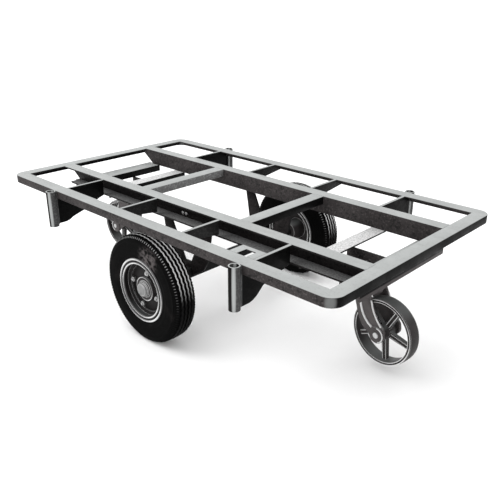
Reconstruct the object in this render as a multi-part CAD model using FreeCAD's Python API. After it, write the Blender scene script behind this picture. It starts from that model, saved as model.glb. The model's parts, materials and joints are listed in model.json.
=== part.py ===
"""Flatbed platform truck: an open welded deck on two centre load wheels and two swivel casters.

Millimetres. X runs along the deck, Y across it (the near side is -Y) and Z up from the floor.
Every subcomponent is written to parts/NODE.step.
"""
import FreeCAD, Part
import math
import os

Vector = FreeCAD.Vector
ENDS = {"left": -1, "right": 1}
SIDES = {"near": -1, "far": 1}
ORIGIN = Vector(0, 0, 0)

# Deck frame
DECK_LENGTH = 1640.0
DECK_WIDTH = 914.4
DECK_TOP = 459.0
PLATE = 5.0
RAIL_FLANGE = 50.0
RAIL_DEPTH = 30.0
CORNER_SIZE = 60.0
CORNER_RADIUS = 44.0

# Inner beams: two channels along X with their toes outward
BEAM_INNER_Y = 195.6
BEAM_FLANGE = 50.8
BEAM_DEPTH = 65.0
BEAM_FLANGE_THICKNESS = 6.0
SNIP_X = (722.0, 808.0)
BEAM_BOLT_X = (-43.0, -25.0)
BEAM_BOLT_Z = 415.0
BEAM_BOLT_RADIUS = 4.0

# Cross members between the beams, top flush with the deck
CROSS_NEAR_X = 240.0
CROSS_FAR_X = 291.0

# Bolsters and caster saddles, under the beams
BOLSTER_DEPTH = 29.0
BOLSTER_PLATE = 6.5
INNER_BOLSTER_X = (505.0, 561.0)
INNER_BOLSTER_HALF_SPAN = 206.0
END_BOLSTER_X = (686.0, 760.0)
END_BOLSTER_HALF_SPAN = {"left": 206.0, "right": 246.0}
END_BOLSTER_BOTTOM = 352.0
SADDLE_X = (505.0, 700.0)
SADDLE_HALF_WIDTH = 61.0
SADDLE_DEPTH = 40.0
SADDLE_PLATE = 6.0

# Outriggers from the beams to the side rails
OUTRIGGER_X = {"left": -142.0, "right": 188.0}
OUTRIGGER_BOTTOM = 404.0
GUSSET_X = {"left": -485.0, "right": 500.0}
GUSSET_KNEE = {"left": (346.0, 354.0), "right": (366.0, 364.0)}
GUSSET_BOTTOM = 327.0
STRIP_REACH = 9.5

# Stake sockets: pipe outside the side rails
SOCKET_X = 490.0
SOCKET_RADIUS = 18.0
SOCKET_BORE = 14.0
SOCKET_GAP = 0.3
SOCKET_BOTTOM = 320.0

# Slotted plate beside the near rail
SLOT_PLATE_X = (401.0, 497.5)
SLOT_PLATE_DEPTH = 60.0
SLOT_X = (432.0, 471.0)
SLOT_DEPTH = 42.0

# Load wheels and their axle
WHEEL_RADIUS = 200.0
WHEEL_Y = 402.6
AXLE_RADIUS = 12.7
AXLE_HALF_SIDE = 19.0
AXLE_COLLAR_Y = (334.6, 344.6)
AXLE_COLLAR_RADIUS = 20.0
RUNNING_GAP = 0.05
LUG_COUNT = 4
LUG_CIRCLE = 66.0
LUG_START_DEG = -15.0
LUG_STUD_RADIUS = 5.0
LUG_NUT_ACROSS = 17.0

# Hangers: the right half of a notched plate, in X and Z, and its place across the truck
HANGER_HALF = [(19, 219), (19, 188), (83, 228), (107, 268), (120, 345), (129, 394), (88, 394), (18, 244)]
HANGER_Y = (217.0, 227.0)

# Casters
SWIVEL_X = 640.0
TRAIL = 76.0
CASTER_AXLE_Z = 145.0
CASTER_YAW_DEG = {"left": 0.0, "right": -5.5}
TOP_PLATE_Z = (317.0, 325.0)
TOP_PLATE_HALF = (57.5, 50.0)
TOP_PLATE_BOLT = (47.0, 40.0)
CASTER_BOLT_RADIUS = 4.0
RACE_RADIUS = 47.0
LOWER_RACE_RADIUS = 43.0
UPPER_RACE_BOTTOM = 296.0
LOWER_RACE_TOP = 295.6
CROWN_Z = (268.0, 276.0)
CROWN_X = (-32.0, 34.0)
FORK_INNER_Y = 38.0
FORK_OUTER_Y = 46.0
HUB_BOSS_RADIUS = 28.0
HUB_BOSS_Y = 49.0
KINGPIN_RADIUS = 10.0
KINGPIN_HEAD_RADIUS = 16.0
CASTER_AXLE_RADIUS = 8.0
CASTER_AXLE_HEAD_RADIUS = 10.0
CASTER_RADIUS = 116.0
CASTER_HALF_WIDTH = 22.5
SPOKE_COUNT = 5
SPOKE_START_DEG = -83.0

# Fork legs: edges and rib in X and Z from the swivel axis, crown end first
FORK_FRONT = [(34, 276), (44, 257), (51, 235), (65, 208), (82, 186), (99, 171), (103.5, 150)]
FORK_BACK = [(-32, 276), (-23, 250), (-14, 222), (-6, 197), (6, 172), (24, 151), (48.5, 139)]
FORK_RIB = [(-6, 262), (3, 232), (12, 208), (28, 182), (57, 160)]
FORK_RIB_WIDTH = 6.0
FORK_RIB_Y = 48.5

# Sizes worked out from the ones above
HALF_LENGTH = DECK_LENGTH / 2
HALF_WIDTH = DECK_WIDTH / 2
FLANGE_UNDER = DECK_TOP - PLATE
RAIL_BOTTOM = DECK_TOP - RAIL_DEPTH
FLANGE_END_X = HALF_LENGTH - RAIL_FLANGE
FLANGE_EDGE_Y = HALF_WIDTH - RAIL_FLANGE
CORNER_X = HALF_LENGTH - CORNER_SIZE
CORNER_Y = HALF_WIDTH - CORNER_SIZE
WEB_FACE_X = HALF_LENGTH - PLATE
WEB_FACE_Y = HALF_WIDTH - PLATE
BEAM_OUTER_Y = BEAM_INNER_Y + BEAM_FLANGE
BEAM_BOTTOM = DECK_TOP - BEAM_DEPTH
BOLSTER_BOTTOM = BEAM_BOTTOM - BOLSTER_DEPTH
SADDLE_BOTTOM = BOLSTER_BOTTOM - SADDLE_DEPTH


# Building blocks

def box(x, y, z):
    """A block between three (low, high) pairs."""
    size = [high - low for low, high in (x, y, z)]
    return Part.makeBox(size[0], size[1], size[2], Vector(x[0], y[0], z[0]))


def rod_z(x, y, z, radius):
    return Part.makeCylinder(radius, z[1] - z[0], Vector(x, y, z[0]))


def rod_y(x, y, z, radius):
    return Part.makeCylinder(radius, y[1] - y[0], Vector(x, y[0], z), Vector(0, 1, 0))


def prism(points, push):
    """A closed outline pushed along a vector."""
    return Part.Face(Part.makePolygon(points + points[:1])).extrude(push)


def plate_xz(outline, y):
    return prism([Vector(px, y[0], pz) for px, pz in outline], Vector(0, y[1] - y[0], 0))


def plate_yz(outline, x):
    return prism([Vector(x[0], py, pz) for py, pz in outline], Vector(x[1] - x[0], 0, 0))


def plate_xy(outline, z):
    return prism([Vector(px, py, z[0]) for px, py in outline], Vector(0, 0, z[1] - z[0]))


def hexagon(across_flats):
    """The six corners of a hexagon, as pairs."""
    radius = across_flats / math.sqrt(3)
    angles = [math.radians(60 * step) for step in range(6)]
    return [(radius * math.cos(angle), radius * math.sin(angle)) for angle in angles]


def hex_z(x, y, z, across_flats):
    return plate_xy([(x + px, y + py) for px, py in hexagon(across_flats)], z)


def hex_y(x, y, z, across_flats):
    return plate_xz([(x + px, z + pz) for px, pz in hexagon(across_flats)], y)


def turned(profile):
    """A profile of (distance along Y, radius) pairs turned about the Y axis."""
    points = [Vector(radius, along, 0) for along, radius in profile]
    return Part.Face(Part.makePolygon(points + points[:1])).revolve(ORIGIN, Vector(0, 1, 0), 360)


def fuse(first, *others):
    return first.multiFuse(list(others)).removeSplitter()


def to_end(shape, end):
    """A shape drawn at the right end, mirrored when the end is the left one."""
    return shape if end > 0 else shape.mirror(ORIGIN, Vector(1, 0, 0))


def to_side(shape, side):
    """A shape drawn on the far side, mirrored when the side is the near one."""
    return shape if side > 0 else shape.mirror(ORIGIN, Vector(0, 1, 0))


def polar(radius, degrees):
    return radius * math.cos(math.radians(degrees)), radius * math.sin(math.radians(degrees))


# Deck frame

def side_rail():
    run = (-CORNER_X, CORNER_X)
    flange = box(run, (FLANGE_EDGE_Y, HALF_WIDTH), (FLANGE_UNDER, DECK_TOP))
    web = box(run, (WEB_FACE_Y, HALF_WIDTH), (RAIL_BOTTOM, DECK_TOP))
    return fuse(flange, web)


def end_rail():
    run = (-CORNER_Y, CORNER_Y)
    flange = box((FLANGE_END_X, HALF_LENGTH), run, (FLANGE_UNDER, DECK_TOP))
    web = box((WEB_FACE_X, HALF_LENGTH), run, (RAIL_BOTTOM, DECK_TOP))
    return fuse(flange, web)


def rounded_corner(inset, z, radius):
    """A block in the deck's corner, set in from both outer faces, with that corner rounded."""
    block = box((CORNER_X, HALF_LENGTH - inset), (CORNER_Y, HALF_WIDTH - inset), z)
    corner = Vector(HALF_LENGTH - inset, HALF_WIDTH - inset, z[0])
    edges = [edge for edge in block.Edges
             if all(abs(v.X - corner.x) + abs(v.Y - corner.y) < 0.01 for v in edge.Vertexes)]
    return block.makeFillet(radius, edges)


def frame_corner():
    outside = rounded_corner(0, (RAIL_BOTTOM, DECK_TOP), CORNER_RADIUS)
    inside = rounded_corner(PLATE, (RAIL_BOTTOM, FLANGE_UNDER), CORNER_RADIUS - PLATE)
    notch = box((CORNER_X, FLANGE_END_X), (CORNER_Y, FLANGE_EDGE_Y), (RAIL_BOTTOM, DECK_TOP))
    return outside.cut([inside, notch])


def inner_beam(hole_x):
    """A channel between the end rails, coped under their flanges and snipped off at an angle below."""
    y = (BEAM_INNER_Y, BEAM_OUTER_Y)
    channel = box((-WEB_FACE_X, WEB_FACE_X), y, (BEAM_BOTTOM, DECK_TOP))
    hollow_z = (BEAM_BOTTOM + BEAM_FLANGE_THICKNESS, DECK_TOP - BEAM_FLANGE_THICKNESS)
    cuts = [box((-WEB_FACE_X, WEB_FACE_X), (BEAM_INNER_Y + PLATE, BEAM_OUTER_Y), hollow_z)]
    for end in ENDS.values():
        cope = box((FLANGE_END_X, WEB_FACE_X), y, (FLANGE_UNDER, DECK_TOP))
        toe = box((FLANGE_END_X, WEB_FACE_X), (BEAM_INNER_Y + PLATE, BEAM_OUTER_Y), (hollow_z[0], DECK_TOP))
        snip = [(SNIP_X[0], BEAM_BOTTOM), (SNIP_X[1], FLANGE_UNDER)]
        snip += [(WEB_FACE_X, FLANGE_UNDER), (WEB_FACE_X, BEAM_BOTTOM)]
        cuts.append(to_end(fuse(cope, toe, plate_xz(snip, y)), end))
    for x in hole_x:
        cuts.append(rod_y(x, (BEAM_INNER_Y, BEAM_INNER_Y + PLATE), BEAM_BOLT_Z, BEAM_BOLT_RADIUS + 0.3))
    return channel.cut(cuts)


def cross_member():
    """A channel between the beams with its toes down."""
    run = (-BEAM_INNER_Y, BEAM_INNER_Y)
    block = box((CROSS_NEAR_X, CROSS_FAR_X), run, (RAIL_BOTTOM, DECK_TOP))
    return block.cut(box((CROSS_NEAR_X + PLATE, CROSS_FAR_X - PLATE), run, (RAIL_BOTTOM, FLANGE_UNDER)))


def inner_bolster():
    """An angle under the beams, with its leg toward the middle of the truck."""
    run = (-INNER_BOLSTER_HALF_SPAN, INNER_BOLSTER_HALF_SPAN)
    x = INNER_BOLSTER_X
    flange = box(x, run, (BEAM_BOTTOM - BOLSTER_PLATE, BEAM_BOTTOM))
    leg = box((x[0], x[0] + BOLSTER_PLATE), run, (BOLSTER_BOTTOM, BEAM_BOTTOM))
    return fuse(flange, leg)


def end_bolster(end_name):
    """A channel under the beams with its toes down, the outer one deeper."""
    half_span = END_BOLSTER_HALF_SPAN[end_name]
    run = (-half_span, half_span)
    x = END_BOLSTER_X
    web = box(x, run, (BEAM_BOTTOM - BOLSTER_PLATE, BEAM_BOTTOM))
    inner_toe = box((x[0], x[0] + BOLSTER_PLATE), run, (BOLSTER_BOTTOM, BEAM_BOTTOM))
    outer_toe = box((x[1] - BOLSTER_PLATE, x[1]), run, (END_BOLSTER_BOTTOM, BEAM_BOTTOM))
    return fuse(web, inner_toe, outer_toe)


def caster_saddle():
    """A channel with its toes up, hung under the bolsters to carry a caster."""
    y = (-SADDLE_HALF_WIDTH, SADDLE_HALF_WIDTH)
    inner_y = (y[0] + SADDLE_PLATE, y[1] - SADDLE_PLATE)
    block = box(SADDLE_X, y, (SADDLE_BOTTOM, BOLSTER_BOTTOM))
    web_top = SADDLE_BOTTOM + SADDLE_PLATE
    cuts = [box(SADDLE_X, inner_y, (web_top, BOLSTER_BOTTOM))]
    cuts.append(rod_z(SWIVEL_X, 0, (SADDLE_BOTTOM, web_top), KINGPIN_HEAD_RADIUS + 0.5))
    for x, y_bolt in caster_bolt_points():
        cuts.append(rod_z(x, y_bolt, (SADDLE_BOTTOM, web_top), CASTER_BOLT_RADIUS + 0.3))
    return block.cut(cuts)


def outrigger_at(x, outline):
    """A plate across the deck at x, with a strip along its top toward +X."""
    plate = plate_yz(outline, (x - PLATE / 2, x + PLATE / 2))
    strip_x = (x - PLATE / 2, x + STRIP_REACH)
    strip = box(strip_x, (BEAM_OUTER_Y, FLANGE_EDGE_Y), (FLANGE_UNDER, DECK_TOP))
    return fuse(plate, strip)


def outrigger(x):
    """The shallow kind, tapered to the depth of the rail."""
    outline = [(BEAM_OUTER_Y, OUTRIGGER_BOTTOM), (BEAM_OUTER_Y, DECK_TOP), (FLANGE_EDGE_Y, DECK_TOP)]
    outline += [(FLANGE_EDGE_Y, FLANGE_UNDER), (WEB_FACE_Y, FLANGE_UNDER), (WEB_FACE_Y, RAIL_BOTTOM)]
    return outrigger_at(x, outline)


def pocket_gusset(x, knee):
    """The deep kind, which also carries the foot of a stake socket."""
    outline = [(BEAM_OUTER_Y, BEAM_BOTTOM), (BEAM_OUTER_Y, DECK_TOP), (FLANGE_EDGE_Y, DECK_TOP)]
    outline += [(FLANGE_EDGE_Y, FLANGE_UNDER), (WEB_FACE_Y, FLANGE_UNDER), (WEB_FACE_Y, RAIL_BOTTOM)]
    outline += [(HALF_WIDTH, RAIL_BOTTOM), (HALF_WIDTH, GUSSET_BOTTOM), (426, GUSSET_BOTTOM)]
    outline += [(410, GUSSET_BOTTOM + 4), (394, GUSSET_BOTTOM + 13), knee, (266.5, BEAM_BOTTOM - 6)]
    return outrigger_at(x, outline)


def stake_socket():
    """A pipe outside the side rail, with the weld beads that join it to the rail and gusset."""
    y = HALF_WIDTH + SOCKET_GAP + SOCKET_RADIUS
    pipe = rod_z(SOCKET_X, y, (SOCKET_BOTTOM, DECK_TOP), SOCKET_RADIUS)
    beads = []
    for way in (-1, 1):
        outline = [(2, 0), (12, 0), (11, 5), (2, 2)]
        corners = [(SOCKET_X + way * px, HALF_WIDTH + py) for px, py in outline]
        beads.append(plate_xy(corners, (GUSSET_BOTTOM, DECK_TOP - 3)))
    return fuse(pipe, *beads).cut(rod_z(SOCKET_X, y, (SOCKET_BOTTOM, DECK_TOP), SOCKET_BORE))


def slot_plate():
    """A plate flush with the deck inside the near rail, with a square slot against the rail."""
    y = (-FLANGE_EDGE_Y, -FLANGE_EDGE_Y + SLOT_PLATE_DEPTH)
    plate = box(SLOT_PLATE_X, y, (FLANGE_UNDER, DECK_TOP))
    return plate.cut(box(SLOT_X, (y[0], y[0] + SLOT_DEPTH), (FLANGE_UNDER, DECK_TOP)))


# Bolts

def beam_bolts():
    """Hexagon bolts through the near beam's web, beside the axle."""
    bolts = []
    face = BEAM_INNER_Y + PLATE
    for x in BEAM_BOLT_X:
        head = hex_y(x, (face, face + 5.5), BEAM_BOLT_Z, 13)
        shank = rod_y(x, (BEAM_INNER_Y - 9, face), BEAM_BOLT_Z, BEAM_BOLT_RADIUS)
        nut = hex_y(x, (BEAM_INNER_Y - 6.5, BEAM_INNER_Y), BEAM_BOLT_Z, 13)
        bolts.append(to_side(fuse(head, shank, nut), SIDES["near"]))
    return Part.makeCompound(bolts)


def caster_bolt_points():
    dx, dy = TOP_PLATE_BOLT
    return [(SWIVEL_X + sx * dx, sy * dy) for sx in (-1, 1) for sy in (-1, 1)]


def caster_bolts():
    """Hexagon bolts that hold the caster top plates to the saddles."""
    bolts = []
    web_top = SADDLE_BOTTOM + SADDLE_PLATE
    for end in ENDS.values():
        for x, y in caster_bolt_points():
            head = hex_z(x, y, (TOP_PLATE_Z[0] - 5.5, TOP_PLATE_Z[0]), 13)
            shank = rod_z(x, y, (TOP_PLATE_Z[0], web_top + 9), CASTER_BOLT_RADIUS)
            nut = hex_z(x, y, (web_top, web_top + 6.5), 13)
            bolts.append(to_end(fuse(head, shank, nut), end))
    return Part.makeCompound(bolts)


# Axle and hangers

def hanger():
    """A plate with two splayed legs under the beam, notched at the foot to straddle the axle."""
    outline = HANGER_HALF + [(-x, z) for x, z in reversed(HANGER_HALF)]
    return plate_xz(outline, HANGER_Y)


def axle():
    """A square bar with round journals for the wheels and a collar inside each of them."""
    low, high = WHEEL_RADIUS - AXLE_HALF_SIDE, WHEEL_RADIUS + AXLE_HALF_SIDE
    run = (-AXLE_COLLAR_Y[0], AXLE_COLLAR_Y[0])
    bar = box((-AXLE_HALF_SIDE, AXLE_HALF_SIDE), run, (low, high))
    journals = rod_y(0, (-WHEEL_Y - 29, WHEEL_Y + 29), WHEEL_RADIUS, AXLE_RADIUS)
    collar = rod_y(0, AXLE_COLLAR_Y, WHEEL_RADIUS, AXLE_COLLAR_RADIUS)
    return fuse(bar, journals, collar, to_side(collar, -1))


def axle_nuts():
    """The nuts that keep the wheels on the axle, under the hub caps."""
    y = (WHEEL_Y + 21, WHEEL_Y + 28)
    nut = hex_y(0, y, WHEEL_RADIUS, 28).cut(rod_y(0, y, WHEEL_RADIUS, AXLE_RADIUS))
    return Part.makeCompound([nut, to_side(nut, -1)])


# Load wheels: profiles are (distance outward from the tyre's middle, radius)

def on_load_axle(shape, side):
    shape.translate(Vector(0, WHEEL_Y, WHEEL_RADIUS))
    return to_side(shape, side)


def tyre():
    """A ribbed pneumatic casing, open toward the rim."""
    outside = [(27, 101.9), (39, 101.9), (39, 117), (43, 121), (45.2, 133), (46, 150), (45.6, 166)]
    outside += [(43.9, 180), (40, 190), (35, 196), (30, 198.8), (16.5, 199.6), (16.5, 194.5)]
    outside += [(12.5, 194.5), (12.5, 199.8), (2, 200), (2, 194.8)]
    inside = [(30, 186), (36, 172), (37.8, 155), (36.8, 135), (30, 118)]
    half = outside + [(-along, radius) for along, radius in reversed(outside)]
    inner_half = [(-along, radius) for along, radius in reversed(inside)]
    return turned(half + inner_half + inside)


def rim():
    """A drop-centre rim with its wheel disc."""
    outer_half = [(43, 116), (39, 116), (39, 101.6), (22, 101.6), (16, 90)]
    inner_half = [(18, 86.5), (24.1, 98.1), (43, 98.1)]
    profile = outer_half + [(-along, radius) for along, radius in reversed(outer_half)]
    profile += [(-along, radius) for along, radius in reversed(inner_half)] + inner_half
    disc = turned([(14, 43.8), (18, 43.8), (18, 74), (13, 88), (9, 88), (14, 72)])
    holes = [lug_rod((14, 18), LUG_STUD_RADIUS + 0.3, step) for step in range(LUG_COUNT)]
    return fuse(turned(profile), disc).cut(holes)


def lug_angle(step):
    return LUG_START_DEG + step * 360 / LUG_COUNT


def lug_rod(y, radius, step):
    x, z = polar(LUG_CIRCLE, lug_angle(step))
    return rod_y(x, y, z, radius)


def hub():
    """A flanged, stepped hub with a running bore and a recess for the axle nut."""
    bore = AXLE_RADIUS + RUNNING_GAP
    profile = [(-57, bore), (-57, 36), (-20, 36), (6, 44), (6, 71), (14, 71), (14, 43.5)]
    profile += [(26, 43.5), (26, 31), (32, 29), (32, 18), (20, 18), (20, bore)]
    return turned(profile)


def hub_cap():
    return turned([(32, 0), (32, 26), (34, 26), (34, 24), (40, 24), (42.4, 21), (42.4, 0)])


def lug_nuts():
    nuts = []
    for step in range(LUG_COUNT):
        x, z = polar(LUG_CIRCLE, lug_angle(step))
        nut = hex_y(x, (18, 28), z, LUG_NUT_ACROSS)
        nuts.append(fuse(nut, lug_rod((14, 32), LUG_STUD_RADIUS, step)))
    return Part.makeCompound(nuts)


# Casters: drawn at the right end about a swivel axis at x = 0

def at_swivel(shape, end):
    shape.translate(Vector(SWIVEL_X, 0, 0))
    return to_end(shape, end)


def caster_top_plate():
    """The fixed plate with the upper race of the swivel bearing."""
    half_x, half_y = TOP_PLATE_HALF
    plate = box((-half_x, half_x), (-half_y, half_y), TOP_PLATE_Z)
    cup = rod_z(0, 0, (UPPER_RACE_BOTTOM, TOP_PLATE_Z[0]), RACE_RADIUS)
    cuts = [rod_z(0, 0, (UPPER_RACE_BOTTOM, TOP_PLATE_Z[1]), KINGPIN_RADIUS + RUNNING_GAP)]
    dx, dy = TOP_PLATE_BOLT
    for x in (-dx, dx):
        for y in (-dy, dy):
            cuts.append(rod_z(x, y, TOP_PLATE_Z, CASTER_BOLT_RADIUS + 0.3))
    return fuse(plate, cup).cut(cuts)


def kingpin():
    """The pin the fork turns on: a flat head above the plate and a nut below the crown."""
    stem = rod_z(0, 0, (246, TOP_PLATE_Z[1]), KINGPIN_RADIUS)
    head = rod_z(0, 0, (TOP_PLATE_Z[1], TOP_PLATE_Z[1] + 6), KINGPIN_HEAD_RADIUS)
    return fuse(stem, head, hex_z(0, 0, (252, CROWN_Z[0] - 0.3), 30))


def fork_leg():
    """One leg from the crown down to the boss for the caster's axle, with a rib along it."""
    edges = []
    for points in (FORK_FRONT, FORK_BACK):
        curve = Part.BSplineCurve()
        curve.interpolate([Vector(x, FORK_INNER_Y, z) for x, z in points])
        edges.append(curve.toShape())
    for index in (0, -1):
        (x0, z0), (x1, z1) = FORK_FRONT[index], FORK_BACK[index]
        edges.append(Part.makeLine(Vector(x0, FORK_INNER_Y, z0), Vector(x1, FORK_INNER_Y, z1)))
    face = Part.Face(Part.Wire(Part.__sortEdges__(edges)))
    leg = face.extrude(Vector(0, FORK_OUTER_Y - FORK_INNER_Y, 0))
    half = FORK_RIB_WIDTH / 2
    rib_outline = [(x + half, z + half) for x, z in FORK_RIB]
    rib_outline += [(x - half, z - half) for x, z in reversed(FORK_RIB)]
    rib = plate_xz(rib_outline, (FORK_OUTER_Y - 1, FORK_RIB_Y))
    boss = rod_y(TRAIL, (FORK_INNER_Y, HUB_BOSS_Y), CASTER_AXLE_Z, HUB_BOSS_RADIUS)
    return fuse(leg, rib, boss)


def fork():
    """The crown, the lower race and both legs."""
    crown = box(CROWN_X, (-FORK_OUTER_Y, FORK_OUTER_Y), CROWN_Z)
    disc = rod_z(0, 0, CROWN_Z, LOWER_RACE_RADIUS)
    race = rod_z(0, 0, (CROWN_Z[1], LOWER_RACE_TOP), LOWER_RACE_RADIUS)
    legs = [to_side(fork_leg(), side) for side in SIDES.values()]
    bores = [rod_z(0, 0, (CROWN_Z[0], LOWER_RACE_TOP), KINGPIN_RADIUS + RUNNING_GAP)]
    bores.append(rod_y(TRAIL, (-HUB_BOSS_Y, HUB_BOSS_Y), CASTER_AXLE_Z, CASTER_AXLE_RADIUS + RUNNING_GAP))
    return fuse(crown, disc, race, *legs).cut(bores)


def caster_axle():
    """A pin through the fork with a low round head at each end."""
    reach = HUB_BOSS_Y + 4
    pin = rod_y(TRAIL, (-reach, reach), CASTER_AXLE_Z, CASTER_AXLE_RADIUS)
    head = rod_y(TRAIL, (HUB_BOSS_Y, reach - 1), CASTER_AXLE_Z, CASTER_AXLE_HEAD_RADIUS)
    return fuse(pin, head, to_side(head, -1))


def caster_wheel():
    """A spoked iron wheel with a slightly crowned tread."""
    half = CASTER_HALF_WIDTH
    hub_half = FORK_INNER_Y - 0.5
    side = [(half, 103), (half, CASTER_RADIUS - 3), (half - 3, CASTER_RADIUS - 1)]
    ring = turned(side + [(0, CASTER_RADIUS)] + [(-v, r) for v, r in reversed(side)] + [(0, 100)])
    barrel = turned([(-hub_half, 0), (-hub_half, 19), (-16, 24), (16, 24), (hub_half, 19), (hub_half, 0)])
    spokes = []
    for step in range(SPOKE_COUNT):
        spoke = plate_xz([(15, -11), (104, -8), (104, 8), (15, 11)], (-7, 7))
        spoke.rotate(ORIGIN, Vector(0, -1, 0), SPOKE_START_DEG + step * 360 / SPOKE_COUNT)
        spokes.append(spoke)
    bore = rod_y(0, (-hub_half, hub_half), 0, CASTER_AXLE_RADIUS + RUNNING_GAP)
    wheel = fuse(ring, barrel, *spokes).cut(bore)
    wheel.translate(Vector(TRAIL, 0, CASTER_AXLE_Z))
    return wheel


def swivelled(shape, name):
    """A caster piece turned about its swivel axis and put at the named end."""
    placed = at_swivel(shape, ENDS[name])
    placed.rotate(Vector(ENDS[name] * SWIVEL_X, 0, 0), Vector(0, 0, 1), CASTER_YAW_DEG[name])
    return placed


# Nodes

nodes = {"beam_bolts": beam_bolts(), "caster_bolts": caster_bolts(), "slot_plate": slot_plate()}
nodes["axle"] = axle()
nodes["axle_nuts"] = axle_nuts()

for name, side in SIDES.items():
    nodes["side_rail_" + name] = to_side(side_rail(), side)
    nodes["inner_beam_" + name] = to_side(inner_beam(BEAM_BOLT_X if name == "near" else ()), side)
    nodes["hanger_" + name] = to_side(hanger(), side)
    nodes["tyre_" + name] = on_load_axle(tyre(), side)
    nodes["rim_" + name] = on_load_axle(rim(), side)
    nodes["hub_" + name] = on_load_axle(hub(), side)
    nodes["hub_cap_" + name] = on_load_axle(hub_cap(), side)
    nodes["lug_nuts_" + name] = on_load_axle(lug_nuts(), side)

for name, end in ENDS.items():
    nodes["end_rail_" + name] = to_end(end_rail(), end)
    nodes["cross_member_" + name] = to_end(cross_member(), end)
    nodes["inner_bolster_" + name] = to_end(inner_bolster(), end)
    nodes["end_bolster_" + name] = to_end(end_bolster(name), end)
    nodes["caster_saddle_" + name] = to_end(caster_saddle(), end)
    nodes["caster_top_plate_" + name] = at_swivel(caster_top_plate(), end)
    nodes["kingpin_" + name] = at_swivel(kingpin(), end)
    nodes["fork_" + name] = swivelled(fork(), name)
    nodes["caster_axle_" + name] = swivelled(caster_axle(), name)
    nodes["caster_wheel_" + name] = swivelled(caster_wheel(), name)

for side_name, side in SIDES.items():
    for end_name, end in ENDS.items():
        place = "_" + side_name + "_" + end_name
        nodes["frame_corner" + place] = to_side(to_end(frame_corner(), end), side)
        nodes["outrigger" + place] = to_side(outrigger(OUTRIGGER_X[end_name]), side)
        gusset = pocket_gusset(GUSSET_X[end_name], GUSSET_KNEE[end_name])
        nodes["pocket_gusset" + place] = to_side(gusset, side)
        nodes["stake_socket" + place] = to_side(to_end(stake_socket(), end), side)

os.makedirs("parts", exist_ok=True)
for name, shape in nodes.items():
    shape.exportStep("parts/" + name + ".step")
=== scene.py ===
import json
import math

import bmesh
import bpy
from mathutils import Matrix, Vector

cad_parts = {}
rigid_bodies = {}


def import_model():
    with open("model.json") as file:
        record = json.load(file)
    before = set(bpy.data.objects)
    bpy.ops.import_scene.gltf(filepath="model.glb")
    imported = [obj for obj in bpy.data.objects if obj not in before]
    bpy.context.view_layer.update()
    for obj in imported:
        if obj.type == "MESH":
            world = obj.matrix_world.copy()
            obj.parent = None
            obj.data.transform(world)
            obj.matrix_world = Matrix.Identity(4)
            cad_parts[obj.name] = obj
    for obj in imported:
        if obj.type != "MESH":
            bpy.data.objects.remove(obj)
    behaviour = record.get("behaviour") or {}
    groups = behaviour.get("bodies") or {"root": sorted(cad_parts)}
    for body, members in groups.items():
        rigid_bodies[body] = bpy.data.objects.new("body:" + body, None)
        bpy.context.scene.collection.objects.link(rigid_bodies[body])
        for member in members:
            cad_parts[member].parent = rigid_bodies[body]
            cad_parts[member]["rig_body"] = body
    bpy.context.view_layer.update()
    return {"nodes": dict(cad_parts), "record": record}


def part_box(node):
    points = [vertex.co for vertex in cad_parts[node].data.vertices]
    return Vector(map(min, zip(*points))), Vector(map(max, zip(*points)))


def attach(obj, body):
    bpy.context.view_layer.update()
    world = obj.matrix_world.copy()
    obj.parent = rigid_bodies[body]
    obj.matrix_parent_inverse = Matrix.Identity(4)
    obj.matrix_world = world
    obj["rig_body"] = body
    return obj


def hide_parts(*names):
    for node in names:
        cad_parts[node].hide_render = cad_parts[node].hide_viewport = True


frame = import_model()
NODES = frame["nodes"]
SLOT_OF = {part["node"]: part["material_slot"] for part in frame["record"]["subparts"]}
BODY_OF = {node: obj["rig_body"] for node, obj in NODES.items()}
SIDES = {"near": -1, "far": 1}
ENDS = {"left": -1, "right": 1}

# Places in metres, from the middle of the deck at floor level

AXLE_Z = 0.200
WHEEL_Y = 0.4026
SWIVEL_X = 0.640
CASTER_YAW_DEG = {"left": 0.0, "right": -5.5}


# Materials

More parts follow.
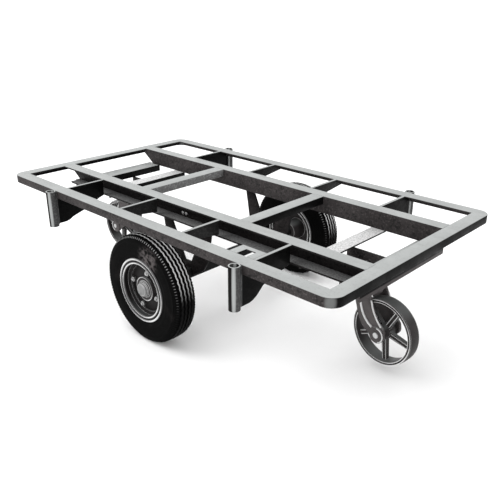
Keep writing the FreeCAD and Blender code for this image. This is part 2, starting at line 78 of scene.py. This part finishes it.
class Graph:
    """A material's node tree, with short calls for the nodes used here."""

    def __init__(self, name):
        self.material = bpy.data.materials.new(name)
        self.material.use_nodes = True
        self.nodes = self.material.node_tree.nodes
        self.links = self.material.node_tree.links
        self.shader = self.nodes["Principled BSDF"]
        self.place = self.nodes.new("ShaderNodeTexCoord").outputs["Object"]

    def feed(self, socket, value):
        if isinstance(value, bpy.types.NodeSocket):
            self.links.new(value, socket)
        else:
            socket.default_value = value

    def set(self, **values):
        for name, value in values.items():
            self.feed(self.shader.inputs[name.replace("_", " ")], value)

    def stretched(self, scale):
        node = self.nodes.new("ShaderNodeMapping")
        node.inputs["Scale"].default_value = scale
        self.links.new(self.place, node.inputs["Vector"])
        return node.outputs["Vector"]

    def noise(self, scale, detail=4.0, rough=0.55, stretch=None):
        node = self.nodes.new("ShaderNodeTexNoise")
        node.inputs["Scale"].default_value = scale
        node.inputs["Detail"].default_value = detail
        node.inputs["Roughness"].default_value = rough
        self.links.new(self.stretched(stretch) if stretch else self.place, node.inputs["Vector"])
        return node.outputs["Fac"]

    def ranged(self, value, low, high, to_low=0.0, to_high=1.0, smooth=True):
        node = self.nodes.new("ShaderNodeMapRange")
        if smooth:
            node.interpolation_type = "SMOOTHSTEP"
        for name, number in (("From Min", low), ("From Max", high), ("To Min", to_low), ("To Max", to_high)):
            node.inputs[name].default_value = number
        self.links.new(value, node.inputs["Value"])
        return node.outputs["Result"]

    def math(self, operation, first, second=0.0):
        node = self.nodes.new("ShaderNodeMath")
        node.operation = operation
        self.feed(node.inputs[0], first)
        self.feed(node.inputs[1], second)
        return node.outputs[0]

    def mixed(self, factor, first, second, blend="MIX"):
        node = self.nodes.new("ShaderNodeMix")
        node.data_type = "RGBA"
        node.blend_type = blend
        self.feed(node.inputs["Factor"], factor)
        self.feed(node.inputs["A"], first)
        self.feed(node.inputs["B"], second)
        return node.outputs["Result"]

    def bump(self, height, strength, distance):
        node = self.nodes.new("ShaderNodeBump")
        node.inputs["Strength"].default_value = strength
        node.inputs["Distance"].default_value = distance
        self.links.new(height, node.inputs["Height"])
        self.links.new(node.outputs["Normal"], self.shader.inputs["Normal"])

    def facing(self, direction, low, high):
        """0 to 1 as a face turns toward a direction, between two cosines."""
        geometry = self.nodes.new("ShaderNodeNewGeometry")
        node = self.nodes.new("ShaderNodeVectorMath")
        node.operation = "DOT_PRODUCT"
        node.inputs[1].default_value = Vector(direction).normalized()
        self.links.new(geometry.outputs["Normal"], node.inputs[0])
        return self.ranged(node.outputs["Value"], low, high)

    def around(self, point, near, far):
        """1 to 0 between two distances from a point."""
        node = self.nodes.new("ShaderNodeVectorMath")
        node.operation = "DISTANCE"
        node.inputs[1].default_value = point
        self.links.new(self.place, node.inputs[0])
        return self.ranged(node.outputs["Value"], near, far, 1.0, 0.0)

    def height(self, low, high):
        """0 to 1 between two heights."""
        split = self.nodes.new("ShaderNodeSeparateXYZ")
        self.links.new(self.place, split.inputs[0])
        return self.ranged(split.outputs["Z"], low, high)


COOL = (0.97, 1.0, 0.99)
WARM = (1.0, 0.90, 0.90)
UP = (0, 0, 1)
RIGHT_END = (1, 0, 0)
DECK_TOP_BAND = (0.445, 0.450)


def rgb(level, tint=(1.0, 1.0, 1.0)):
    return (level * tint[0], level * tint[1], level * tint[2], 1.0)


def enamel(name, top, side, end, low_top=None, highlight_band=None, gleam_toward=None, gleam=0.36, roughness=0.42):
    """Dark enamel with painted light and shade by the way each face turns: pale on faces that look up,
    with random wear marks, dark on its sides, with dust mottling, and the tone end on faces toward
    the right end, painted light and shade set member by member.

    Below the deck's top, faces that look up take the tone low_top instead, painted shade on most
    members and painted light on the inner bolsters. Under the heights in band the paint takes a
    painted highlight strip, and streak is the direction of the faces given a painted highlight, to
    the tone gleam.
    """
    g = Graph(name)
    cloud = g.noise(9.0, 5.0)
    grain = g.noise(160.0, 3.0, 0.6)
    drag = g.noise(26.0, 4.0, 0.6, (0.35, 1.0, 1.0))
    # Pale top tone with random wear marks, painted light on faces that look up.
    worn_and_lit = g.mixed(g.ranged(cloud, 0.3, 0.7), rgb(top * 0.90, COOL), rgb(top, COOL))
    worn_and_lit = g.mixed(g.ranged(drag, 0.56, 0.74, 0.0, 0.22), worn_and_lit, rgb(top * 0.6))
    worn_and_lit = g.mixed(g.ranged(grain, 0.5, 0.75, 0.0, 0.3), worn_and_lit, rgb(top * 0.45))
    # Tone low_top on faces that look up below the deck's top: painted shade on most members, painted light on
    # the inner bolsters.
    if low_top:
        low_top_shading = g.mixed(g.ranged(grain, 0.4, 0.7), rgb(low_top), rgb(low_top * 0.5))
        worn_and_lit = g.mixed(g.height(*DECK_TOP_BAND), low_top_shading, worn_and_lit)
    # Side tone with dust mottling, painted shade on faces turned sideways.
    dusty_and_shaded = g.mixed(g.ranged(cloud, 0.3, 0.7), rgb(side * 0.75, WARM), rgb(side * 1.2, WARM))
    mottle = g.noise(75.0, 5.0, 0.7)
    dusty_and_shaded = g.mixed(g.ranged(mottle, 0.50, 0.62, 0.0, 0.7), dusty_and_shaded, rgb(side * 0.35))
    dusty_and_shaded = g.mixed(g.ranged(grain, 0.52, 0.70, 0.0, 0.6), dusty_and_shaded, rgb(side * 2.4, WARM))
    # Tone for faces toward the right end, painted light and shade set member by member.
    end_face_shading = g.mixed(g.ranged(grain, 0.45, 0.75), rgb(end), rgb(end * 2.2))
    dark = g.mixed(g.facing(RIGHT_END, 0.5, 0.9), dusty_and_shaded, end_face_shading)
    # Painted highlight strip along the lower edge, under the heights in band.
    if highlight_band:
        dark = g.mixed(g.height(*highlight_band), rgb(0.06, WARM), dark)
    # Painted highlight on faces turned toward streak.
    if gleam_toward:
        dark = g.mixed(g.facing(gleam_toward, 0.90, 0.995), dark, rgb(gleam, COOL))
    # Pale tops and dark sides by the way each face turns: painted light and shade.
    g.set(Base_Color=g.mixed(g.facing(UP, 0.45, 0.9), dark, worn_and_lit), Metallic=0.0, Specular_IOR_Level=0.03)
    g.set(Roughness=g.ranged(drag, 0.3, 0.7, roughness - 0.08, roughness + 0.12))
    g.bump(grain, 0.25, 0.0006)
    return g.material


def iron(name, level, roughness, bump=0.5, specular=0.08):
    """Dark cast iron with a sandy skin, a little lighter on faces that look up, as painted light from above.
    """
    g = Graph(name)
    cloud = g.noise(14.0, 5.0)
    sand = g.noise(420.0, 3.0, 0.7)
    base = g.mixed(g.ranged(cloud, 0.3, 0.7), rgb(level * 0.7, WARM), rgb(level * 1.25, WARM))
    base = g.mixed(g.ranged(sand, 0.58, 0.75, 0.0, 0.5), base, rgb(level * 2.4))
    # Painted light: faces that look up are lighter.
    base = g.mixed(g.facing(UP, 0.55, 0.98), base, rgb(level * 4.0, COOL))
    g.set(Base_Color=base, Metallic=0.0, Specular_IOR_Level=specular)
    g.set(Roughness=g.ranged(cloud, 0.3, 0.7, roughness - 0.1, roughness + 0.1))
    g.bump(sand, bump, 0.0005)
    return g.material


def bright(name, level, roughness, metallic=0.9, toward=None):
    """Bare or plated steel with fine turning marks; where a direction is given, faces toward it keep the
    bright tone as a painted highlight and faces turned away take painted shade.
    """
    g = Graph(name)
    marks = g.noise(90.0, 4.0, 0.6, (1.0, 12.0, 1.0))
    cloud = g.noise(30.0, 4.0)
    base = g.mixed(g.ranged(cloud, 0.35, 0.7), rgb(level), rgb(level * 0.72))
    base = g.mixed(g.ranged(marks, 0.5, 0.8, 0.0, 0.3), base, rgb(level * 0.45))
    # Painted highlight toward the direction, painted shade on faces turned away.
    if toward:
        base = g.mixed(g.facing(toward, 0.10, 0.75), rgb(level * 0.07), base)
    g.set(Base_Color=base, Metallic=metallic)
    g.set(Roughness=g.ranged(marks, 0.3, 0.7, roughness - 0.07, roughness + 0.12))
    g.bump(marks, 0.15, 0.0004)
    return g.material


def rubber(name, level, crown, patch=None):
    """Rubber with random pale dust, painted light in the tone crown on the parts that look up, and a dried
    splash round a point.
    """
    g = Graph(name)
    dust = g.noise(11.0, 6.0, 0.65)
    grain = g.noise(500.0, 2.0, 0.6)
    base = g.mixed(g.ranged(dust, 0.52, 0.72), rgb(level), rgb(level * 4.0, WARM))
    if patch:
        splash = g.math("MULTIPLY", g.around(patch, 0.020, 0.062), g.ranged(g.noise(60.0, 4.0), 0.40, 0.62))
        base = g.mixed(splash, base, rgb(0.085, WARM))
    # Painted light on the parts that look up.
    top_light = g.mixed(g.ranged(grain, 0.4, 0.7), rgb(crown), rgb(crown * 0.5))
    base = g.mixed(g.facing(UP, 0.0, 0.5), base, top_light)
    g.set(Base_Color=base, Roughness=g.ranged(dust, 0.3, 0.7, 0.45, 0.65), Specular_IOR_Level=0.015)
    g.bump(grain, 0.3, 0.0004)
    return g.material


def ground(name):
    g = Graph(name)
    speck = g.noise(3.0, 4.0)
    g.set(Base_Color=g.mixed(g.ranged(speck, 0.3, 0.7), rgb(0.93), rgb(0.95)))
    g.set(Roughness=1.0, Specular_IOR_Level=0.0)
    return g.material


# Directions of faces given a painted highlight, and the middle of the near tyre's splash

CORNER_GLEAM = (0.60, -0.80, 0.0)
PIPE_GLEAM = (0.62, -0.78, 0.0)
LIP_GLEAM = (-0.60, -0.55, -0.58)
SPLASH = (0.055, -0.447, 0.335)

# Enamel tones for tops, sides and right-facing faces are painted light and shade.
MATERIALS = {
    "deck_paint": enamel("deck_enamel", 0.37, 0.040, 0.003, low_top=0.075, gleam_toward=CORNER_GLEAM, gleam=0.14),
    "chassis_paint": enamel("chassis_enamel", 0.030, 0.018, 0.010),
    "pipe": enamel("pipe_enamel", 0.40, 0.006, 0.050, gleam_toward=PIPE_GLEAM),
    "tyre": rubber("tyre_rubber", 0.0022, 0.004, SPLASH),
    "wheel_rim": iron("rim_enamel", 0.010, 0.38, 0.15),
    "hub_iron": iron("hub_casting", 0.035, 0.42),
    "bright_cap": bright("plated_cap", 0.20, 0.36, 0.4),
    "fastener": bright("bolt_steel", 0.45, 0.34),
    "bright_steel": bright("turned_steel", 0.6, 0.32),
    "fork_iron": iron("fork_casting", 0.072, 0.42),
    "plate_iron": iron("plate_casting", 0.060, 0.46),
    "wheel_iron": iron("wheel_casting", 0.028, 0.42),
}

# Members and details with their own painted light and shade, and painted highlights

# End bolsters carry a painted highlight strip along their lower edge.
BOLSTER = enamel("bolster_enamel", 0.38, 0.040, 0.006, highlight_band=(0.3640, 0.3655))
# Near inner beam: darker sides as painted shade where it lies in shadow.
BEAM = enamel("beam_enamel", 0.37, 0.012, 0.003, low_top=0.15)
OUTRIGGER = enamel("outrigger_enamel", 0.37, 0.040, 0.016, low_top=0.075)
# Left cross member: faces toward the right end lighter as painted light.
LEFT_CROSS = enamel("cross_member_enamel", 0.37, 0.040, 0.13, low_top=0.20)
SADDLE = enamel("saddle_enamel", 0.060, 0.050, 0.060)
# Inner bolsters: a pale tone on faces that look up as painted light.
INNER_BOLSTER = enamel("inner_bolster_enamel", 0.37, 0.030, 0.006, low_top=0.62)
# Rib crowns and shoulder blocks: a pale crown tone as painted light on the parts that look up.
RIB = rubber("rib_rubber", 0.006, 0.60)
SHOULDER = rubber("shoulder_rubber", 0.004, 0.26)
# Worn bare steel on rounded edges, its pale tone also a painted highlight.
BARE_EDGE_HIGHLIGHT = bright("bare_edge_highlight", 0.40, 0.40, 0.2)
# Raised beads in a pale tone as a painted highlight along the edges.
HIGHLIT_BEAD = bright("highlit_bead", 0.62, 0.40, 0.1)
# Rolled lips and rings: painted highlight on faces toward LIP_GLEAM, painted shade on faces turned away.
LIP_HIGHLIGHT = bright("lip_highlight", 0.95, 0.40, 0.0, toward=LIP_GLEAM)

SPECIAL = {"end_bolster_left": BOLSTER, "end_bolster_right": BOLSTER, "inner_bolster_left": INNER_BOLSTER,
           "inner_bolster_right": INNER_BOLSTER, "inner_beam_near": BEAM, "cross_member_left": LEFT_CROSS}
SPECIAL.update({node: OUTRIGGER for node in NODES if node.startswith("outrigger")})
SPECIAL.update({node: SADDLE for node in NODES if node.startswith("caster_saddle")})

for node, obj in NODES.items():
    obj.data.materials.clear()
    obj.data.materials.append(MATERIALS[SLOT_OF[node]])


# Mesh helpers

def piece(name, mesh, body, slot, replaced=()):
    """A new object that rides on a body and may stand for CAD nodes."""
    obj = bpy.data.objects.new(name, mesh)
    bpy.context.scene.collection.objects.link(obj)
    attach(obj, body)
    if replaced:
        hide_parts(*replaced)
    if not mesh.materials:
        mesh.materials.append(MATERIALS[slot])
    return obj


def smooth_by_angle(mesh, degrees=35):
    mesh.polygons.foreach_set("use_smooth", [True] * len(mesh.polygons))
    mesh.set_sharp_from_angle(angle=math.radians(degrees))


def merged_copy(nodes):
    """The CAD nodes' triangles as one tidy set of flat faces."""
    bm = bmesh.new()
    for node in nodes:
        bm.from_mesh(NODES[node].data)
    bmesh.ops.remove_doubles(bm, verts=bm.verts, dist=2e-5)
    bmesh.ops.dissolve_limit(bm, angle_limit=math.radians(0.5), verts=bm.verts, edges=bm.edges)
    return bm


def eased(bm, width, segments=2, angle=30, worn_and_lit=False):
    """Rounds every edge sharper than the angle, onto the second material where worn is set: bare steel edges
    with a painted highlight.
    """
    sharp = [e for e in bm.edges if len(e.link_faces) == 2 and e.calc_face_angle(0) > math.radians(angle)]
    bmesh.ops.bevel(bm, geom=sharp, offset=width, offset_type="OFFSET", segments=segments, profile=0.5,
                    affect="EDGES", clamp_overlap=True, material=1 if worn_and_lit else -1)


def finished_mesh(bm, name):
    mesh = bpy.data.meshes.new(name)
    bmesh.ops.recalc_face_normals(bm, faces=bm.faces)
    bm.to_mesh(mesh)
    bm.free()
    smooth_by_angle(mesh)
    return mesh


def eased_piece(node, width, worn_and_lit=False):
    """A CAD node with its edges rounded as rolled and dressed steel has them."""
    bm = merged_copy([node])
    eased(bm, width, worn_and_lit=worn_and_lit)
    mesh = finished_mesh(bm, node)
    mesh.materials.append(SPECIAL.get(node) or MATERIALS[SLOT_OF[node]])
    if worn_and_lit:
        mesh.materials.append(BARE_EDGE_HIGHLIGHT)
    return piece(node + "_dressed", mesh, BODY_OF[node], SLOT_OF[node], [node])


# Deck ring: rails and corners as one welded and ground piece

def deck_ring():
    names = [n for n in NODES if n.startswith(("side_rail", "end_rail", "frame_corner"))]
    low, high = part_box("frame_corner_far_right")
    bm = merged_copy([])
    for node in names:
        bm.from_mesh(NODES[node].data)
    seams = []
    for face in bm.faces:
        centre = face.calc_center_median()
        across_x = abs(abs(centre.x) - low.x) < 1e-5 and abs(face.normal.x) > 0.99
        across_y = abs(abs(centre.y) - low.y) < 1e-5 and abs(face.normal.y) > 0.99
        outside_y = abs(centre.y) > low.y
        outside_x = abs(centre.x) > low.x
        if (across_x and outside_y) or (across_y and outside_x):
            seams.append(face)
    bmesh.ops.delete(bm, geom=seams, context="FACES_ONLY")
    bmesh.ops.remove_doubles(bm, verts=bm.verts, dist=2e-5)
    bmesh.ops.dissolve_limit(bm, angle_limit=math.radians(0.5), verts=bm.verts, edges=bm.edges)
    eased(bm, 0.0012)
    piece("deck_ring", finished_mesh(bm, "deck_ring"), "frame", "deck_paint", names)


deck_ring()

# Nodes that get rounded edges, by the width of the rounding in metres, and those whose edges are bare steel
# with a painted highlight

DRESSED = {
    0.0012: ("inner_beam", "cross_member", "outrigger", "pocket_gusset", "slot_plate", "inner_bolster",
             "end_bolster", "caster_saddle", "hanger", "axle", "caster_top_plate", "hub"),
    0.0008: ("stake_socket", "kingpin", "beam_bolts", "caster_bolts"),
    0.0022: ("lug_nuts",),
    0.0026: ("caster_wheel",),
    0.0018: ("fork", "rim"),
}
WORN_AND_HIGHLIT = ("fork", "caster_wheel", "rim", "hub", "caster_top_plate")
for width, starts in DRESSED.items():
    for node in sorted(NODES):
        if node.startswith(starts):
            eased_piece(node, width, node.startswith(WORN_AND_HIGHLIT))


# Tyres

TYRE_STEPS = 360
TREAD_PITCH_DEG = 6.0
BLOCK_PITCH_DEG = TREAD_PITCH_DEG / 2
GAP_LEVEL = 0.34
CROWN_ZIGZAG = 1.2
BLOCK_NOTCH = 3.0
RIM_HALF_WIDTH = 43.0
BULGE_DRAWN_IN = 0.4


def wave(degrees, pitch):
    """A triangle wave from -1 to 1."""
    phase = (degrees / pitch) % 1.0
    return 4 * abs(phase - 0.5) - 1


def notched(step):
    """Whether a step round the tyre falls in a gap between the shoulder's blocks."""
    return wave(step * 360 / TYRE_STEPS, BLOCK_PITCH_DEG) > GAP_LEVEL


def tyre_profile():
    """(along the axle, radius, zigzag, notch) from one bead over the tread to the other, in mm."""
    crown = CROWN_ZIGZAG
    half = [(2.6, 194.8, 1.6, 0), (3.0, 200.0, 1.6, 0), (5.4, 200.0, crown, 0), (10.2, 199.9, crown, 0)]
    half += [(12.6, 199.7, 1.6, 0), (13.0, 194.6, 1.6, 0), (16.4, 194.6, 1.6, 0), (16.8, 199.4, 1.6, 0)]
    half += [(20.2, 199.2, crown, 0), (25.2, 198.8, crown, 0), (28.6, 198.4, 1.6, 0), (29.0, 194.0, 1.6, 0)]
    half += [(31.6, 193.6, 1.0, 0), (32.2, 197.0, 1.0, 1.6)]
    half += [(36.5, 194.6, 0, BLOCK_NOTCH), (40.5, 189.0, 0, 3.4), (43.2, 183.0, 0, 2.6), (44.8, 177.5, 0, 0)]
    half += [(46.6, 176.5, 0, 0), (47.2, 174.5, 0, 0), (46.6, 172.5, 0, 0), (47.2, 166.0, 0, 0)]
    half += [(48.0, 155.0, 0, 0), (48.0, 148.0, 0, 0), (47.2, 141.0, 0, 0), (47.6, 139.0, 0, 0)]
    half += [(46.8, 137.0, 0, 0), (45.4, 130.0, 0, 0), (43.6, 124.0, 0, 0), (44.2, 121.8, 0, 0)]
    half += [(43.0, 119.6, 0, 0), (40.6, 117.4, 0, 0), (39.0, 115.0, 0, 0), (39.0, 101.9, 0, 0)]
    half += [(27.0, 101.9, 0, 0)]
    return [(-v, r, z, n) for v, r, z, n in reversed(half)] + half


def narrowed(along):
    """The sidewall's bulge beyond the rim, drawn in."""
    excess = max(abs(along) - RIM_HALF_WIDTH, 0.0)
    return math.copysign(abs(along) - BULGE_DRAWN_IN * excess, along)


def tyre(side_name, side):
    """A tyre with zigzag ribs round its crown and blocks on its shoulders."""
    bm = bmesh.new()
    rings = []
    profile = tyre_profile()
    for step in range(TYRE_STEPS):
        degrees = step * 360 / TYRE_STEPS
        turn = math.radians(degrees)
        ring = []
        for along, radius, zigzag, notch in profile:
            v = narrowed(along) + zigzag * wave(degrees, TREAD_PITCH_DEG)
            r = radius - (notch if notched(step) else 0)
            place = Vector((r * math.cos(turn), side * v, r * math.sin(turn))) / 1000
            ring.append(bm.verts.new(place + Vector((0, side * WHEEL_Y, AXLE_Z))))
        rings.append(ring)
    for step in range(TYRE_STEPS):
        this, following = rings[step], rings[(step + 1) % TYRE_STEPS]
        solid = not notched(step) and not notched(step + 1)
        for k in range(len(profile) - 1):
            face = bm.faces.new((this[k], this[k + 1], following[k + 1], following[k]))
            crown = profile[k][2] == profile[k + 1][2] == CROWN_ZIGZAG
            block = min(profile[k][3], profile[k + 1][3]) == BLOCK_NOTCH and solid
            face.material_index = 1 if crown else 2 if block else 0
    body = "wheel_" + side_name
    mesh = finished_mesh(bm, "tyre_" + side_name)
    mesh.materials.append(MATERIALS["tyre"])
    mesh.materials.append(RIB)
    mesh.materials.append(SHOULDER)
    smooth_by_angle(mesh, 32)
    piece("tyre_tread_" + side_name, mesh, body, "tyre", ["tyre_" + side_name])


for side_name, side in SIDES.items():
    tyre(side_name, side)


# Round bars, swept

RING_STEPS = 120


def swept(bm, path, radius, closed=False, sides=8):
    """A round bar along a path of points, with capped ends unless it closes on itself."""
    rings = []
    count = len(path)
    for k, point in enumerate(path):
        before = path[k - 1] if closed or k else path[k]
        after = path[(k + 1) % count] if closed or k < count - 1 else path[k]
        ahead = (after - before).normalized()
        across = ahead.cross(Vector((0, 1, 0))).normalized()
        up = across.cross(ahead)
        turns = [2 * math.pi * side / sides for side in range(sides)]
        around = [radius * (math.cos(t) * across + math.sin(t) * up) for t in turns]
        rings.append([bm.verts.new(point + offset) for offset in around])
    for k in range(count if closed else count - 1):
        this, following = rings[k], rings[(k + 1) % count]
        for side in range(sides):
            corner = (side + 1) % sides
            bm.faces.new((this[side], this[corner], following[corner], following[side]))
    if not closed:
        bm.faces.new(list(reversed(rings[0])))
        bm.faces.new(rings[-1])


def circle(radius, y, z):
    turns = [2 * math.pi * k / RING_STEPS for k in range(RING_STEPS)]
    return [Vector((radius * math.cos(t), y, z + radius * math.sin(t))) for t in turns]


# Rims' rolled lips: radius, distance outboard of the wheel's middle and radius of the bar, in metres

RIM_LIPS = ((0.1140, 0.0418, 0.0042), (0.1000, 0.0424, 0.0034), (0.1140, -0.0418, 0.0042),
            (0.1000, -0.0424, 0.0034), (0.0690, 0.0135, 0.0016), (0.0425, 0.0255, 0.0018))

for side_name, side in SIDES.items():
    bm = bmesh.new()
    for radius, along, bar in RIM_LIPS:
        swept(bm, circle(radius, side * (WHEEL_Y + along), AXLE_Z), bar, closed=True)
    mesh = finished_mesh(bm, "rim_lips_" + side_name)
    # Painted highlight on the rim's rolled lips.
    mesh.materials.append(LIP_HIGHLIGHT)
    piece("rim_lips_" + side_name, mesh, "wheel_" + side_name, "wheel_rim")

# Casters, drawn at the right-hand swivel axis with x outward and z from the floor, in mm, and bars in metres

FORK_BEADS = ([(2, 252), (4, 240), (8, 226), (13, 212), (20, 199), (29, 187), (41, 176), (56, 167)],
              [(44, 257), (48, 246), (51, 235), (57, 221), (65, 208), (73, 196), (82, 186), (90, 178)])


def on_caster(x, y, z, end_name):
    """A point drawn at the right-hand swivel axis, in mm, moved to where the named caster stands."""
    end = ENDS[end_name]
    turn = math.radians(CASTER_YAW_DEG[end_name])
    x, y = end * x / 1000, y / 1000
    return Vector((end * SWIVEL_X + x * math.cos(turn) - y * math.sin(turn),
                   x * math.sin(turn) + y * math.cos(turn), z / 1000))

TRAIL = 76
CASTER_AXLE_Z = 145
FORK_BEAD_Y = (48.0, 45.6)
FORK_BEAD_BAR = (0.0036, 0.0026)
BOSS_ARC_RADIUS = 25.0
BOSS_ARC_Y = 48.6
BOSS_ARC_DEG = range(-70, 100, 10)
BOSS_ARC_BAR = 0.0024
CASTER_RINGS = ((112.2, 21.6, 0.0022), (104.0, 22.0, 0.0017))
SPOKES = 5
SPOKE_START_DEG = -83
SPOKE_EDGE = 6.2
SPOKE_EDGE_Y = 6.6
SPOKE_ENDS = (27, 100)
SPOKE_EDGE_BAR = 0.0016


def polar(radius, degrees):
    return radius * math.cos(math.radians(degrees)), radius * math.sin(math.radians(degrees))


def round_axle(radius, degrees):
    """A point in the caster wheel's plane, from the fork's swivel axis and the floor, in mm."""
    x, z = polar(radius, degrees)
    return TRAIL + x, CASTER_AXLE_Z + z


def on_face(points, y, end_name):
    return [on_caster(x, y, z, end_name) for x, z in points]


def fork_beads(end_name):
    """The raised edges of both cheeks and the rolled edge of each axle boss."""
    bm = bmesh.new()
    for side in SIDES.values():
        for points, y, bar in zip(FORK_BEADS, FORK_BEAD_Y, FORK_BEAD_BAR):
            swept(bm, on_face(points, side * y, end_name), bar)
        arc = [round_axle(BOSS_ARC_RADIUS, degrees) for degrees in BOSS_ARC_DEG]
        swept(bm, on_face(arc, side * BOSS_ARC_Y, end_name), BOSS_ARC_BAR)
    mesh = finished_mesh(bm, "fork_beads_" + end_name)
    # Painted highlight on the cheeks' raised edges and the bosses' rolled edges.
    mesh.materials.append(HIGHLIT_BEAD)
    piece("fork_beads_" + end_name, mesh, "caster_fork_" + end_name, "fork_iron")


def caster_rings(end_name):
    """The cast wheel's raised rim edges and the ribs along its spokes."""
    bm = bmesh.new()
    for side in SIDES.values():
        for radius, y, bar in CASTER_RINGS:
            ring = [round_axle(radius, step * 360 / RING_STEPS) for step in range(RING_STEPS)]
            swept(bm, on_face(ring, side * y, end_name), bar, closed=True)
        for spoke in range(SPOKES):
            degrees = SPOKE_START_DEG + spoke * 360 / SPOKES
            ends = [round_axle(radius, degrees) for radius in SPOKE_ENDS]
            for offset in (-SPOKE_EDGE, SPOKE_EDGE):
                shift_x, shift_z = polar(offset, degrees + 90)
                edge = [(x + shift_x, z + shift_z) for x, z in ends]
                swept(bm, on_face(edge, side * SPOKE_EDGE_Y, end_name), SPOKE_EDGE_BAR)
    mesh = finished_mesh(bm, "caster_rings_" + end_name)
    # Painted highlight on the wheel's rim edges and spoke ribs.
    mesh.materials.append(LIP_HIGHLIGHT)
    piece("caster_rings_" + end_name, mesh, "caster_wheel_" + end_name, "wheel_iron")


for end_name in ENDS:
    fork_beads(end_name)
    caster_rings(end_name)


# Camera, floor and lights

CAMERA_PLACE = (1.600, -1.5875, 1.1715)
CAMERA_AZIMUTH_DEG = 43.351
CAMERA_PITCH_DEG = 22.959
CAMERA_ROLL_DEG = 0.22
SENSOR_MM = 36.0
LENS_MM = 44.57
FLOOR_HALF = 80.0
KEY_PLACE = (-1.8, -3.0, 3.6)
KEY_SIZE = 2.6
KEY_POWER = 40
SKY_TOWARD = (-0.5, -0.35, 1.0)
SKY_SPREAD_DEG = 40
SKY_POWER = 0.8
WORLD_POWER = 1.25

camera_data = bpy.data.cameras.new("camera")
camera_data.sensor_width = SENSOR_MM
camera_data.lens = LENS_MM
camera = bpy.data.objects.new("camera", camera_data)
camera.location = CAMERA_PLACE
turn = Matrix.Rotation(math.radians(CAMERA_AZIMUTH_DEG), 4, "Z")
tilt = Matrix.Rotation(math.radians(90 - CAMERA_PITCH_DEG), 4, "X")
roll = Matrix.Rotation(math.radians(CAMERA_ROLL_DEG), 4, "Z")
camera.rotation_euler = (turn @ tilt @ roll).to_euler()
bpy.context.scene.collection.objects.link(camera)
bpy.context.scene.camera = camera

bm = bmesh.new()
bmesh.ops.create_grid(bm, x_segments=8, y_segments=8, size=FLOOR_HALF)
floor_mesh = bpy.data.meshes.new("floor")
bm.to_mesh(floor_mesh)
bm.free()
floor_mesh.materials.append(ground("pale_floor"))
floor = bpy.data.objects.new("floor", floor_mesh)
bpy.context.scene.collection.objects.link(floor)


def area_light(name, place, size, power):
    data = bpy.data.lights.new(name, "AREA")
    data.shape = "DISK"
    data.size = size
    data.energy = power
    light = bpy.data.objects.new(name, data)
    light.location = place
    light.rotation_euler = (Vector(place) - Vector((0, 0, 0.3))).to_track_quat("Z", "Y").to_euler()
    bpy.context.scene.collection.objects.link(light)


area_light("key", KEY_PLACE, KEY_SIZE, KEY_POWER)

sun_data = bpy.data.lights.new("skylight", "SUN")
sun_data.angle = math.radians(SKY_SPREAD_DEG)
sun_data.energy = SKY_POWER
sun = bpy.data.objects.new("skylight", sun_data)
sun.rotation_euler = Vector(SKY_TOWARD).to_track_quat("Z", "Y").to_euler()
bpy.context.scene.collection.objects.link(sun)

world = bpy.data.worlds.new("studio")
bpy.context.scene.world = world
world.use_nodes = True
world.node_tree.nodes["Background"].inputs["Color"].default_value = (1, 1, 1, 1)
world.node_tree.nodes["Background"].inputs["Strength"].default_value = WORLD_POWER
bpy.context.scene.view_settings.view_transform = "Standard"
